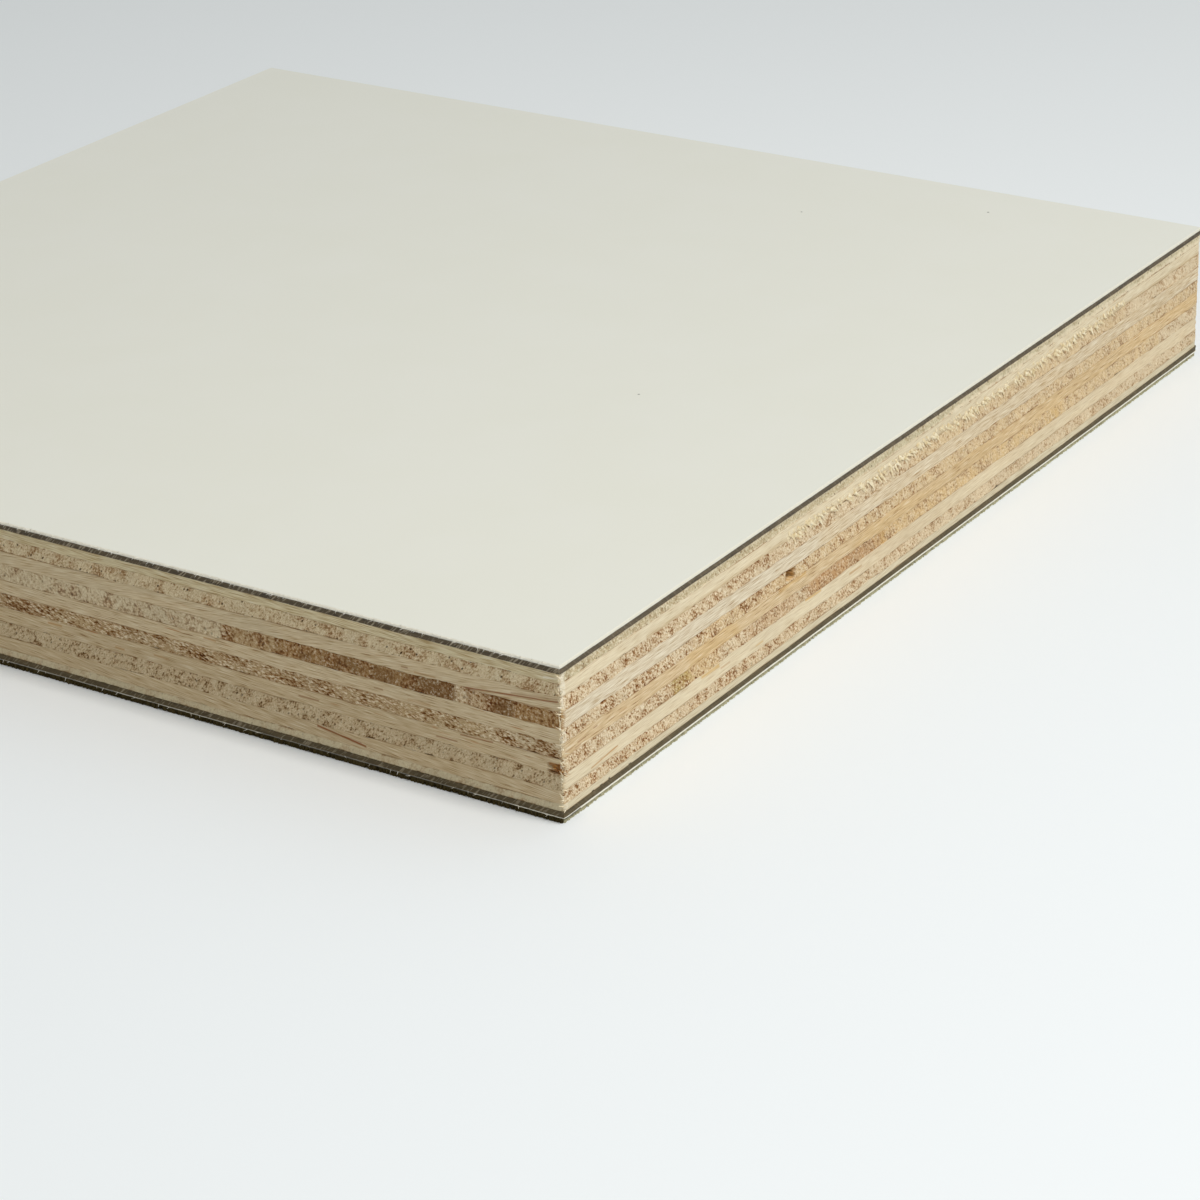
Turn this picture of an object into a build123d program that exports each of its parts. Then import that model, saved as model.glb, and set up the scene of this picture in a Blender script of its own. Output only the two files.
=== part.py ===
from build123d import *

import os

# A square sample of plywood, faced on both sides with a hard laminate and lying flat.
# Millimetres. The origin is under the middle of the panel, +Z is up, and the cut corner
# between the -X edge and the -Y edge is the front corner.

# Panel: one square cut from a larger sheet
panel_side = 150.0

# Laminate, the same on both faces: a kraft-paper core next to the wood and a decor sheet outside it
kraft_thickness = 0.65
decor_thickness = 0.25
decor_arris = 0.08

# Veneers from the top down: the inner ones are as peeled, the two outer ones are sanded thinner
veneer_01_thickness = 1.09
veneer_02_thickness = 1.53
veneer_03_thickness = 1.65
veneer_04_thickness = 1.86
veneer_05_thickness = 1.59
veneer_06_thickness = 1.69
veneer_07_thickness = 1.74
veneer_08_thickness = 1.81
veneer_09_thickness = 1.52
veneer_10_thickness = 0.82

# Core void: a gap in veneer 05 that the saw opened on the -Y edge, wider at its top than at its floor
void_from_corner = 45.2
void_top_width = 1.9
void_floor_width = 1.4
void_height = 1.2
void_depth = 4.0
void_veneer = 5

# Torn corner: a chip of veneer 07 that broke away at the front corner, along its lower glue line
tear_along_left_edge = 1.4
tear_along_right_edge = 0.35
tear_height = 0.95
torn_veneer = 7

# Cuts run this far past the faces that they open
cut_overrun = 0.5

panel_half = panel_side / 2
lowest = 0
highest = -1


def sheet(thickness, base):
    """One full layer of the panel, from the height base upwards."""
    return Pos(0, 0, base) * Box(
        panel_side, panel_side, thickness, align=(Align.CENTER, Align.CENTER, Align.MIN)
    )


def eased(decor, outer_face):
    """A decor sheet with the sharp arris of its lowest or highest face rubbed down."""
    return chamfer(decor.faces().sort_by(Axis.Z)[outer_face].edges(), decor_arris)


def core_void(top):
    """The gap in the -Y edge, as a wedge-sided pocket that hangs from the height top."""
    middle = void_from_corner - panel_half
    over_share = cut_overrun / void_height
    over_half = void_top_width / 2 + (void_top_width - void_floor_width) / 2 * over_share
    floor_half = void_floor_width / 2
    mouth = make_face(
        Polyline(
            (middle - floor_half, top - void_height),
            (middle + floor_half, top - void_height),
            (middle + over_half, top + cut_overrun),
            (middle - over_half, top + cut_overrun),
            close=True,
        )
    )
    outside = Plane((0, -panel_half - cut_overrun, 0), x_dir=(1, 0, 0), z_dir=(0, -1, 0))
    return extrude(outside * mouth, -(void_depth + cut_overrun))


def torn_corner(base):
    """The chip at the front corner, as a three-sided wedge that stands on the height base."""
    right = tear_along_right_edge * (1 + cut_overrun / tear_along_left_edge)
    left = tear_along_left_edge * (1 + cut_overrun / tear_along_right_edge)
    chip = make_face(
        Polyline(
            (-panel_half - cut_overrun, -panel_half - cut_overrun),
            (-panel_half + right, -panel_half - cut_overrun),
            (-panel_half - cut_overrun, -panel_half + left),
            close=True,
        )
    )
    return Pos(0, 0, base - cut_overrun) * extrude(chip, tear_height + cut_overrun)


veneer_thicknesses = (
    veneer_01_thickness,
    veneer_02_thickness,
    veneer_03_thickness,
    veneer_04_thickness,
    veneer_05_thickness,
    veneer_06_thickness,
    veneer_07_thickness,
    veneer_08_thickness,
    veneer_09_thickness,
    veneer_10_thickness,
)
pieces = {}

# Lower laminate, with its decor sheet on the floor
pieces["bottom_decor"] = eased(sheet(decor_thickness, 0), lowest)
pieces["bottom_kraft"] = sheet(kraft_thickness, decor_thickness)
height = decor_thickness + kraft_thickness

# Veneers, laid up from the lowest to the highest
for number in range(len(veneer_thicknesses), 0, -1):
    thickness = veneer_thicknesses[number - 1]
    veneer = sheet(thickness, height)
    if number == void_veneer:
        veneer -= core_void(height + thickness)
    if number == torn_veneer:
        veneer -= torn_corner(height)
    pieces[f"veneer_{number:02d}"] = veneer
    height += thickness

# Upper laminate
pieces["top_kraft"] = sheet(kraft_thickness, height)
height += kraft_thickness
pieces["top_decor"] = eased(sheet(decor_thickness, height), highest)

os.makedirs("parts", exist_ok=True)
for name, piece in pieces.items():
    export_step(piece, f"parts/{name}.step")
    box = piece.bounding_box()
    print(name, f"from {box.min.Z:.2f} to {box.max.Z:.2f} mm, volume {piece.volume:.1f} mm3")
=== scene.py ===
# %% [markdown]
# # A square of laminate-faced plywood
# The object is a sample sawn from a plywood sheet: ten thin veneers glued with their grain crossed, and
# a hard laminate on both faces. All that makes it look real happens on its sawn edges, where each
# veneer shows either the ends of its fibres or their sides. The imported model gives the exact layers, so
# it is loaded first, and each layer is then cut again here with the roughness that a saw leaves.

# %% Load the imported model
import math
from functools import partial

import bpy
from mathutils import Matrix, Vector


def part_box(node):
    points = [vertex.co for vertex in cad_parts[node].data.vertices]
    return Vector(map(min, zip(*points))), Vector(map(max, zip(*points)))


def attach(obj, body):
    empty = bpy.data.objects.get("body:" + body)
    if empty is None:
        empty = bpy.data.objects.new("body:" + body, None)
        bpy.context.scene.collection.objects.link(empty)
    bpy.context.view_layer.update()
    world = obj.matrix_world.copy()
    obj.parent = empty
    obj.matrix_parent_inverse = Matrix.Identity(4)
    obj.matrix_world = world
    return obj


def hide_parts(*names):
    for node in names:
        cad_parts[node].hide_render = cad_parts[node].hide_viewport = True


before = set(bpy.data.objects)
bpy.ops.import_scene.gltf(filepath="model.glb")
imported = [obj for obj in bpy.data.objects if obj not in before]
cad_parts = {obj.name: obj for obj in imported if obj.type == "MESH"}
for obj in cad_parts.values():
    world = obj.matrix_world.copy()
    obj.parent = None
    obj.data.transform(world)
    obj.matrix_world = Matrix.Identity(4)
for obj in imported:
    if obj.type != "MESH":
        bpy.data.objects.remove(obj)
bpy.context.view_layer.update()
MM = 0.001
print("layers", sorted(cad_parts))

# %% [markdown]
# Three small helpers carry the whole lesson. The first turns an sRGB hex colour, as read off a screen,
# into the linear numbers that shaders work in. The second feeds a node's inputs. Some nodes keep
# several sockets of one name and enable only one of them, so it asks for the enabled one. The third
# adds one node to any tree, with its settings and its inputs, so that a tree reads from top to bottom
# like a recipe.

# %% Colour and node helpers
def linear(hex_colour):
    """An sRGB hex colour as linear red, green and blue, with an alpha of one."""
    shares = [int(hex_colour[i : i + 2], 16) / 255 for i in (1, 3, 5)]
    return [s / 12.92 if s <= 0.04045 else ((s + 0.055) / 1.055) ** 2.4 for s in shares] + [1]


def feed(tree, node, inputs):
    """Sets inputs of a node, each by a value, a socket, or a node whose first output it links to."""
    for name, value in inputs.items():
        socket = next(s for i, s in enumerate(node.inputs) if name == i or (s.enabled and s.name == name))
        if isinstance(value, bpy.types.Node):
            value = next(s for s in value.outputs if s.enabled)
        if isinstance(value, bpy.types.NodeSocket):
            tree.links.new(value, socket)
        else:
            socket.default_value = value


def add(tree, kind, inputs=None, **settings):
    """Adds one node with its settings and its inputs."""
    node = tree.nodes.new(kind)
    for setting, value in settings.items():
        setattr(node, setting, value)
    feed(tree, node, inputs or {})
    return node


print("helpers ready, white is", linear("#ffffff"))

# %% [markdown]
# A sawn layer follows a rule: it is a square plate whose rim is rough. A box has too few points to be
# rough, and a subdivided box wastes points on faces that are glued out of sight. A cylinder with
# thousands of sides has all its points on the rim, and a triangle wave of the angle pulls its circle
# out to a square. One node tree does it for every layer, with the sizes as named inputs.

# %% The tree's inputs
def new_tree(name, sockets, result):
    """A Geometry Nodes tree with named inputs, the helper that adds its nodes, and its input sockets."""
    tree = bpy.data.node_groups.new(name, "GeometryNodeTree")
    tree.is_modifier = True
    for socket_name, kind in sockets.items():
        tree.interface.new_socket(socket_name, in_out="INPUT", socket_type="NodeSocket" + kind)
    tree.interface.new_socket(result, in_out="OUTPUT", socket_type="NodeSocketGeometry")
    print(name, "has", len(sockets), "inputs")
    return tree, partial(add, tree), add(tree, "NodeGroupInput").outputs


layer_tree, cut, given = new_tree(
    "sawn_layer",
    {
        "Side": "Float",
        "Thickness": "Float",
        "Base height": "Float",
        "Points round": "Int",
        "Rows": "Int",
        "Grain": "Vector",
        "Fibre shares": "Vector",
        "Fibre slant": "Vector",
        "Pit size": "Float",
        "End depth": "Float",
        "Long depth": "Float",
        "Waver": "Float",
        "Corner wear": "Float",
        "Ply wave": "Float",
        "Eased above": "Float",
        "Eased below": "Float",
        "Pocket centre": "Vector",
        "Pocket size": "Vector",
        "Pocket depth": "Float",
        "Pocket raggedness": "Float",
        "Rim map share": "Float",
        "Upper map share": "Float",
        "Lower map share": "Float",
        "Seed": "Float",
        "Finish": "Material",
    },
    "Layer",
)

# %% From a many-sided drum to a square plate
drum = cut(
    "GeometryNodeMeshCylinder",
    {
        "Vertices": given["Points round"],
        "Side Segments": given["Rows"],
        "Radius": given["Side"],
        "Depth": given["Thickness"],
    },
)
drum_axes = cut("ShaderNodeSeparateXYZ", {0: cut("GeometryNodeInputPosition")}).outputs
angle = cut("ShaderNodeMath", {0: drum_axes["Y"], 1: drum_axes["X"]}, operation="ARCTAN2")
quarter_turns = cut("ShaderNodeMath", {0: angle, 1: 2 / math.pi}, operation="MULTIPLY")
half_side = cut("ShaderNodeMath", {0: given["Side"], 1: 0.5}, operation="MULTIPLY")
half_thickness = cut("ShaderNodeMath", {0: given["Thickness"], 1: 0.5}, operation="MULTIPLY")
square = []
for shift in (0, 1):
    turned = cut("ShaderNodeMath", {0: quarter_turns, 1: shift}, operation="SUBTRACT")
    wave = cut("ShaderNodeMath", {0: turned, 1: 2}, operation="PINGPONG")
    ramp = cut("ShaderNodeMath", {0: wave, 1: -2, 2: 2}, operation="MULTIPLY_ADD")
    share = cut("ShaderNodeClamp", {"Value": ramp, "Min": -1, "Max": 1})
    square.append(cut("ShaderNodeMath", {0: share, 1: half_side}, operation="MULTIPLY"))
middle = cut("ShaderNodeMath", {0: given["Base height"], 1: half_thickness}, operation="ADD")
plate_height = cut("ShaderNodeMath", {0: drum_axes["Z"], 1: middle}, operation="ADD")
plate_spot = cut("ShaderNodeCombineXYZ", {0: square[0], 1: square[1], 2: plate_height})
plate = cut("GeometryNodeSetPosition", {"Geometry": drum, "Position": plate_spot})
print("the plate takes", len(layer_tree.nodes), "nodes")

# %% [markdown]
# The sawn faces are told apart before they are roughened. A face that looks along the grain shows fibre
# ends, and the finish has to know that, so each face keeps a number named end_grain. The rim also gets
# a map of its own: it is cut into strips, stacked like lines of text, so that a thin edge 600 mm long
# has room for its grain. The upper and the lower face lie below the strips as two squares, whose sizes
# are inputs.

# %% Marking fibre ends
spot = cut("GeometryNodeInputPosition")
axes = cut("ShaderNodeSeparateXYZ", {0: spot}).outputs
facing = cut(
    "ShaderNodeVectorMath",
    {0: cut("GeometryNodeInputNormal"), 1: given["Grain"]},
    operation="DOT_PRODUCT",
)
facing = cut("ShaderNodeMath", {0: facing.outputs["Value"]}, operation="ABSOLUTE")
end_grain = cut("ShaderNodeMath", {0: facing, 1: 0.5}, operation="GREATER_THAN")
marked = cut(
    "GeometryNodeStoreNamedAttribute",
    {"Geometry": plate, "Name": "end_grain", "Value": end_grain},
    domain="FACE",
)
print("each face stores", marked.inputs["Name"].default_value)

# %% Unrolling the rim
RIM_STRIPS = 20
STRIP_MARGIN_SHARE = 0.06

drum_map = cut("ShaderNodeSeparateXYZ", {0: drum.outputs["UV Map"]}).outputs
along = cut("ShaderNodeMath", {0: drum_map["X"], 1: RIM_STRIPS}, operation="MULTIPLY")
strip = cut("GeometryNodeFieldOnDomain", {0: along}, domain="FACE")
strip = cut("ShaderNodeMath", {0: strip}, operation="FLOOR")
strip_u = cut("ShaderNodeMath", {0: along, 1: strip}, operation="SUBTRACT")
strip_v = cut(
    "ShaderNodeMapRange",
    {
        "Value": drum_map["Y"],
        "From Min": 0.5,
        "From Max": 1,
        "To Min": STRIP_MARGIN_SHARE,
        "To Max": 1 - STRIP_MARGIN_SHARE,
    },
)
strip_v = cut("ShaderNodeMath", {0: strip, 1: strip_v}, operation="ADD")
strip_v = cut("ShaderNodeMath", {0: strip_v, 1: 1 / RIM_STRIPS, 2: -1}, operation="MULTIPLY_ADD")
strip_v = cut("ShaderNodeMath", {0: strip_v, 1: given["Rim map share"], 2: 1}, operation="MULTIPLY_ADD")
rim_map = cut("ShaderNodeCombineXYZ", {0: strip_u, 1: strip_v})
print("rim in", RIM_STRIPS, "strips")

# %% Laying out the faces
FACE_MARGIN_SHARE = 0.004

face_maps = []
for face_share, start in (("Upper map share", 0), ("Lower map share", given["Upper map share"])):
    first = cut("ShaderNodeMath", {0: start, 1: FACE_MARGIN_SHARE}, operation="ADD")
    room = cut("ShaderNodeMath", {0: given[face_share], 1: 2 * FACE_MARGIN_SHARE}, operation="SUBTRACT")
    place = []
    for axis, from_edge in (("X", first), ("Y", FACE_MARGIN_SHARE)):
        share = cut("ShaderNodeMath", {0: axes[axis], 1: given["Side"]}, operation="DIVIDE")
        share = cut("ShaderNodeMath", {0: share, 1: 0.5}, operation="ADD")
        place.append(cut("ShaderNodeMath", {0: share, 1: room, 2: from_edge}, operation="MULTIPLY_ADD"))
    face_maps.append(cut("ShaderNodeCombineXYZ", {0: place[0], 1: place[1]}))
on_upper = cut("GeometryNodeFieldOnDomain", {0: drum.outputs["Top"]}, data_type="BOOLEAN", domain="FACE")
on_rim = cut("GeometryNodeFieldOnDomain", {0: drum.outputs["Side"]}, data_type="BOOLEAN", domain="FACE")
face_map = cut(
    "GeometryNodeSwitch",
    {"Switch": on_upper, "False": face_maps[1], "True": face_maps[0]},
    input_type="VECTOR",
)
bake_map = cut(
    "GeometryNodeSwitch", {"Switch": on_rim, "False": face_map, "True": rim_map}, input_type="VECTOR"
)
mapped = cut(
    "GeometryNodeStoreNamedAttribute",
    {"Geometry": marked, "Name": "OFBake", "Value": bake_map},
    data_type="FLOAT2",
    domain="CORNER",
)
print("each corner stores", mapped.inputs["Name"].default_value)

# %% [markdown]
# Wood is a bundle of fibres, so its roughness is one pattern stretched along the grain. Where the saw
# crosses the fibres the pattern shows as pits, and where it runs beside them as long shallow furrows,
# with no need to draw the two by hand. Veneer is peeled with a knife that bends it open, which leaves
# slanted cracks in its fibre ends, so the pattern also leans. The rim is only ever cut inwards, so the
# panel keeps its size.

# %% Where a point is on the rim
NEAR_RIM = 0.001 * MM

grain_axes = cut("ShaderNodeSeparateXYZ", {0: given["Grain"]}).outputs
reaches, from_edges, crossing = [], [], []
for axis in ("X", "Y"):
    reaches.append(cut("ShaderNodeMath", {0: axes[axis]}, operation="ABSOLUTE"))
    from_edges.append(cut("ShaderNodeMath", {0: half_side, 1: reaches[-1]}, operation="SUBTRACT"))
    at_rim = cut("ShaderNodeMath", {0: from_edges[-1], 1: NEAR_RIM}, operation="LESS_THAN")
    crossing.append(cut("ShaderNodeMath", {0: grain_axes[axis], 1: at_rim}, operation="MULTIPLY"))
crossing = cut("ShaderNodeMath", {0: crossing[0], 1: crossing[1]}, operation="MAXIMUM")
from_corner = cut("ShaderNodeMath", {0: from_edges[0], 1: from_edges[1]}, operation="MAXIMUM")
print("a point is on the rim within", NEAR_RIM / MM, "mm")

# %% Pits and furrows
PIT_RANGE = {"From Min": 0.47, "From Max": 0.72}
PIT_DETAIL = 2

leaning = cut("ShaderNodeVectorMath", {0: given["Fibre slant"], "Scale": axes["Z"]}, operation="SCALE")
fibre_spot = cut(
    "ShaderNodeVectorMath",
    {0: spot, 1: given["Fibre shares"], 2: leaning},
    operation="MULTIPLY_ADD",
)
pit_scale = cut("ShaderNodeMath", {0: 1, 1: given["Pit size"]}, operation="DIVIDE")
pits = cut(
    "ShaderNodeTexNoise",
    {"Vector": fibre_spot, "W": given["Seed"], "Scale": pit_scale, "Detail": PIT_DETAIL},
    noise_dimensions="4D",
)
pits = cut(
    "ShaderNodeMapRange",
    {"Value": pits, **PIT_RANGE},
    interpolation_type="SMOOTHSTEP",
)
pit_depth = cut("ShaderNodeMix", {"Factor": crossing, "A": given["Long depth"], "B": given["End depth"]})
depth = cut("ShaderNodeMath", {0: pits, 1: pit_depth}, operation="MULTIPLY")
print("pits open where the noise is over", PIT_RANGE["From Min"])

# %% The saw's waver and worn corners
WAVER_LENGTH = 9 * MM
CORNER_REACH = 0.9 * MM
CORNER_GRIT = 0.35 * MM

waver = cut(
    "ShaderNodeTexNoise",
    {"Vector": spot, "W": given["Seed"], "Scale": 1 / WAVER_LENGTH, "Detail": 1},
    noise_dimensions="4D",
)
depth = cut("ShaderNodeMath", {0: waver, 1: given["Waver"], 2: depth}, operation="MULTIPLY_ADD")
grit = cut(
    "ShaderNodeTexNoise",
    {"Vector": spot, "W": given["Seed"], "Scale": 1 / CORNER_GRIT, "Detail": 1},
    noise_dimensions="4D",
)
near_corner = cut(
    "ShaderNodeMapRange",
    {"Value": from_corner, "From Min": 0, "From Max": CORNER_REACH, "To Min": 1, "To Max": 0},
)
near_corner = cut("ShaderNodeMath", {0: near_corner, 1: 2}, operation="POWER")
frayed = cut("ShaderNodeMath", {0: grit, 1: near_corner}, operation="MULTIPLY")
depth = cut("ShaderNodeMath", {0: frayed, 1: given["Corner wear"], 2: depth}, operation="MULTIPLY_ADD")
print("corners are worn over", CORNER_REACH / MM, "mm")

# %% Easing an arris and opening a pocket
above = cut("ShaderNodeMath", {0: axes["Z"], 1: middle}, operation="SUBTRACT")
for up_or_down, eased in ((1, "Eased above"), (-1, "Eased below")):
    rise = cut("ShaderNodeMath", {0: above, 1: up_or_down}, operation="MULTIPLY")
    short = cut("ShaderNodeMath", {0: half_thickness, 1: rise}, operation="SUBTRACT")
    at_arris = cut("ShaderNodeMath", {0: short, 1: NEAR_RIM}, operation="LESS_THAN")
    depth = cut("ShaderNodeMath", {0: at_arris, 1: given[eased], 2: depth}, operation="MULTIPLY_ADD")
from_pocket = cut("ShaderNodeVectorMath", {0: spot, 1: given["Pocket centre"]}, operation="SUBTRACT")
from_pocket = cut("ShaderNodeVectorMath", {0: from_pocket}, operation="ABSOLUTE")
pocket_half = cut("ShaderNodeVectorMath", {0: given["Pocket size"], "Scale": 0.5}, operation="SCALE")
past_pocket = cut("ShaderNodeVectorMath", {0: from_pocket, 1: pocket_half}, operation="SUBTRACT")
past_axes = cut("ShaderNodeSeparateXYZ", {0: past_pocket}).outputs
past = cut("ShaderNodeMath", {0: past_axes["X"], 1: past_axes["Y"]}, operation="MAXIMUM")
past = cut("ShaderNodeMath", {0: past, 1: past_axes["Z"]}, operation="MAXIMUM")
ragged = cut(
    "ShaderNodeMath", {0: pits, 1: given["Pocket raggedness"], 2: past}, operation="MULTIPLY_ADD"
)
in_pocket = cut("ShaderNodeMath", {0: ragged, 1: 0}, operation="LESS_THAN")
depth = cut(
    "ShaderNodeMath", {0: in_pocket, 1: given["Pocket depth"], 2: depth}, operation="MULTIPLY_ADD"
)
print("the cut takes", len(layer_tree.nodes), "nodes so far")

# %% [markdown]
# The glue lines between real veneers aren't ruled: the press squeezes soft and hard spots by different
# amounts. A slow wave lifts and lowers the rim's points. It depends only on the place, so two veneers
# that touch move alike and no gap opens, and it fades out towards the laminate, which stays straight.

# %% Waving the glue lines
PLY_WAVES = {5 * MM: 1, 1.1 * MM: 0.6}
PLY_WAVE_FADE = 0.9 * MM
NOISE_MIDDLE = 0.5
stack_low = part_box("veneer_10")[0].z
stack_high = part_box("veneer_01")[1].z

swell = 0
for wave_length, share in PLY_WAVES.items():
    wave = cut("ShaderNodeTexNoise", {"Vector": spot, "Scale": 1 / wave_length, "Detail": 2})
    wave = cut("ShaderNodeMath", {0: wave, 1: NOISE_MIDDLE}, operation="SUBTRACT")
    swell = cut("ShaderNodeMath", {0: wave, 1: share, 2: swell}, operation="MULTIPLY_ADD")
for wall, inside in ((stack_low, PLY_WAVE_FADE), (stack_high, -PLY_WAVE_FADE)):
    fade = cut(
        "ShaderNodeMapRange",
        {"Value": axes["Z"], "From Min": wall, "From Max": wall + inside, "To Min": 0, "To Max": 1},
    )
    swell = cut("ShaderNodeMath", {0: swell, 1: fade}, operation="MULTIPLY")
lift = cut("ShaderNodeMath", {0: swell, 1: given["Ply wave"]}, operation="MULTIPLY")
print("wave fades from", round(stack_low / MM, 2), "to", round(stack_high / MM, 2), "mm")

# %% Cutting inwards, shading and finishing the tree
SHARP_ANGLE = math.radians(60)
WELD = 0.004 * MM

# a point may reach no further out than the cut, so near a corner both sides are held back and
# nothing folds over
limit = cut("ShaderNodeMath", {0: half_side, 1: depth}, operation="SUBTRACT")
cut_spot = []
for axis, reach in zip(("X", "Y"), reaches):
    held = cut("ShaderNodeMath", {0: reach, 1: limit}, operation="MINIMUM")
    side = cut("ShaderNodeMath", {0: axes[axis]}, operation="SIGN")
    cut_spot.append(cut("ShaderNodeMath", {0: held, 1: side}, operation="MULTIPLY"))
cut_height = cut("ShaderNodeMath", {0: axes["Z"], 1: lift}, operation="ADD")
cut_spot = cut("ShaderNodeCombineXYZ", {0: cut_spot[0], 1: cut_spot[1], 2: cut_height})
sawn = cut("GeometryNodeSetPosition", {"Geometry": mapped, "Position": cut_spot})
welded = cut("GeometryNodeMergeByDistance", {"Geometry": sawn, "Distance": WELD})
rounded = cut("GeometryNodeSetShadeSmooth", {"Geometry": welded, "Shade Smooth": on_rim})
bend = cut("GeometryNodeInputMeshEdgeAngle").outputs["Unsigned Angle"]
gentle = cut("ShaderNodeMath", {0: bend, 1: SHARP_ANGLE}, operation="LESS_THAN")
creased = cut(
    "GeometryNodeSetShadeSmooth", {"Geometry": rounded, "Shade Smooth": gentle}, domain="EDGE"
)
realized = cut("GeometryNodeRealizeInstances", {"Geometry": creased})
finished = cut("GeometryNodeSetMaterial", {"Geometry": realized, "Material": given["Finish"]})
cut("NodeGroupOutput", {"Layer": finished})
print("sawn_layer has", len(layer_tree.nodes), "nodes")

# %% [markdown]
# A tree shows its result only through a modifier, but the imported model takes plain meshes. One function
# runs a tree with its inputs set, copies the result and takes the modifier off again. A second does so
# for one packed layer, with the sizes that the layer was packed with, names the new piece after that
# layer and hides the layer.

# %% A plain mesh from a tree
POINTS_ROUND = 3000


def grow(name, tree, values):
    """Runs a tree with its inputs set by name, and returns the result as a plain mesh object."""
    piece = bpy.data.objects.new(name, bpy.data.meshes.new(name))
    bpy.context.scene.collection.objects.link(piece)
    growth = piece.modifiers.new("growth", "NODES")
    growth.node_group = tree
    for item in tree.interface.items_tree:
        if item.in_out == "INPUT" and item.name in values:
            growth[item.identifier] = values[item.name]
    ready = piece.evaluated_get(bpy.context.evaluated_depsgraph_get())
    mesh = bpy.data.meshes.new_from_object(ready)
    piece.modifiers.clear()
    piece.data = mesh
    mesh.name = name
    print(name, len(mesh.vertices), "points", len(mesh.polygons), "faces")
    return piece


def saw_layer(node, finish, slot, **sizes):
    """Makes the sawn form of one packed layer, which replaces it."""
    low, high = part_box(node)
    box_sizes = {"Side": high.x - low.x, "Thickness": high.z - low.z, "Base height": low.z}
    values = {**box_sizes, "Points round": POINTS_ROUND, "Finish": finish, **sizes}
    piece = grow("sawn_" + node, layer_tree, values)
    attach(piece, "root")
    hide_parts(node)


print("points round a layer", POINTS_ROUND)

# %% [markdown]
# The veneers are peeled sapwood, dry and unfinished, so they are matt and warm. The long side of the
# fibres is pale and nearly plain, with fine threads and a few rust dashes of old sap. The fibre ends
# drink in light: each is a small tube, so they are darker and browner, with open pores, dark pits and
# bright torn tips. Both are drawn with noises stretched along the grain. The specks use the very noise
# that cut the rim, so the dark spots lie in the pits. Real fibres are too fine to show, so a speck here
# stands for a small bundle of them.

# %% Wood tones and pattern sizes
TONES = {
    "ivory": "#e9dabb", "cream": "#e9dcc3", "straw": "#e4d1ae", "peach": "#e2c9a1", "tan": "#e2ceac",
    "sand": "#dfccab", "khaki": "#d0c4a2", "drab": "#cfb68d", "wheat": "#e6d4af", "pale": "#f5ecd6",
    "umber": "#a5825a", "olive": "#bfa55f", "rust": "#c0915a", "honey": "#ddb878", "sap": "#9a5f36",
    "char": "#4d4233", "cocoa": "#8c693f", "walnut": "#b89463", "ash": "#e0d0ae", "bone": "#dacdac",
    "flax": "#e9dbb6", "amber": "#c99a68", "dove": "#d8c7a6", "reed": "#dbc7a3", "oat": "#dfd3b6",
    "taupe": "#d7c4a1",
}

# size of each pattern and its stretch along the grain
FIBRE_STRETCH = 30
PIT_SIZE = 0.22 * MM
PATTERNS = {
    "specks": (PIT_SIZE, FIBRE_STRETCH),
    "threads": (0.12 * MM, 10),
    "lines": (0.1 * MM, 24),
    "streaks": (0.3 * MM, 14),
    "clusters": (1.2 * MM, 8),
    "blotches": (3 * MM, 5),
}

# patterns for the long side of the fibres, which hardly change with the depth of the cut
LONG_PATTERNS = ("lines", "streaks")
BEHIND_SHARE = 0.1
print(len(TONES), "wood tones and", len(PATTERNS), "patterns")

# %% Coats of a veneer
# pattern, where a coat begins, where it is full, the name of its strength, its colour and how it is laid
END_COATS = (
    ("clusters", 0.48, 0.64, "mottle", "#bb8d57", "MIX"),
    ("specks", 0.46, 0.34, "tips", "#f6e9cd", "MIX"),
    ("threads", 0.44, 0.66, "grit", "#c3a276", "MULTIPLY"),
    ("threads", 0.42, 0.30, "grit", "#f8eed9", "MIX"),
    ("gathered", 0.50, 0.64, "pits", "pit_tone", "MULTIPLY"),
    ("gathered", 0.62, 0.74, "pits", "deep_tone", "MULTIPLY"),
)
LONG_COATS = (
    ("lines", 0.42, 0.66, "threads", "#d3c2a8", "MULTIPLY"),
    ("lines", 0.40, 0.28, "threads", "#f1e6d0", "MIX"),
    ("lines", 0.62, 0.70, "dashes", "#b0835a", "MULTIPLY"),
    ("streaks", 0.66, 0.74, "streaks", "#b98250", "MIX"),
)

PORE_TINT = "#57452f"
PORE_SPACING = 0.85 * MM
PORE_CORE = 0.1
PORE_EDGE = 0.17
GLUE_TINT = "#b89a7c"
GLUE_LINE = 0.12 * MM
print(len(END_COATS), "coats for fibre ends and", len(LONG_COATS), "for long fibres")


# %% The grain's frame and a new finish
def grain_frame(number, look):
    """The grain direction of a veneer, and how its fibre ends lean and spread over the height."""
    along, lean = look["along"], look["lean"]
    if number % 2:
        return (0, 1, 0), (along, 1 / FIBRE_STRETCH, look["upright"]), (lean, 0, 0)
    return (1, 0, 0), (1 / FIBRE_STRETCH, along, look["upright"]), (0, lean, 0)


def new_finish(name, roughness, specular):
    """A material, the helper that adds nodes to it, its shader and the object's own coordinates."""
    finish = bpy.data.materials.new(name)
    finish.use_nodes = True
    paint = partial(add, finish.node_tree)
    shader = finish.node_tree.nodes["Principled BSDF"]
    feed(finish.node_tree, shader, {"Roughness": roughness, "Specular IOR Level": specular})
    print("new finish", name)
    return finish, paint, shader, paint("ShaderNodeTexCoord").outputs["Object"]


print("fibres are", FIBRE_STRETCH, "times as long as their bundles are wide")

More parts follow.
